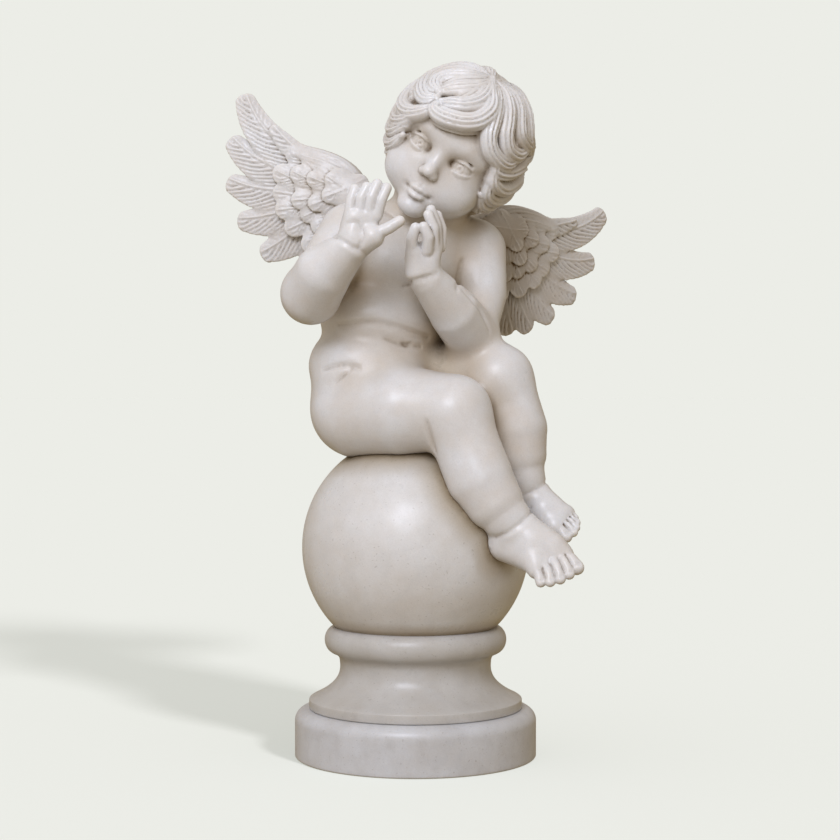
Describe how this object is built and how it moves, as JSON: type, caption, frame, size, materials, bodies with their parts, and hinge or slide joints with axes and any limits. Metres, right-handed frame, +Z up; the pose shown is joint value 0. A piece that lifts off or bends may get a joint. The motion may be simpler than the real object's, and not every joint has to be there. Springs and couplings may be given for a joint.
{
  "type": "stone cherub statue",
  "caption": "Winged cherub in pale marble, seated on a ball with raised hands, on a turned socle and a round plinth; stands in a garden or hall.",
  "frame": {"origin": "centre of the plinth's underside", "axes": "+Z up; -Y to the front, where the figure's face and palms look; +X to the figure's left, where its feet hang"},
  "size_m": [0.4634, 0.3411, 0.8008],
  "materials": {
    "plinth_stone": "honed grey-white marble",
    "turned_stone": "polished warm white marble",
    "carved_stone": "carved and polished warm white marble, browner in its hollows"
  },
  "bodies": {
    "root": {"plinth": "plinth_stone", "socle": "turned_stone", "ball": "turned_stone", "cherub": "carved_stone"}
  },
  "joints": []
}
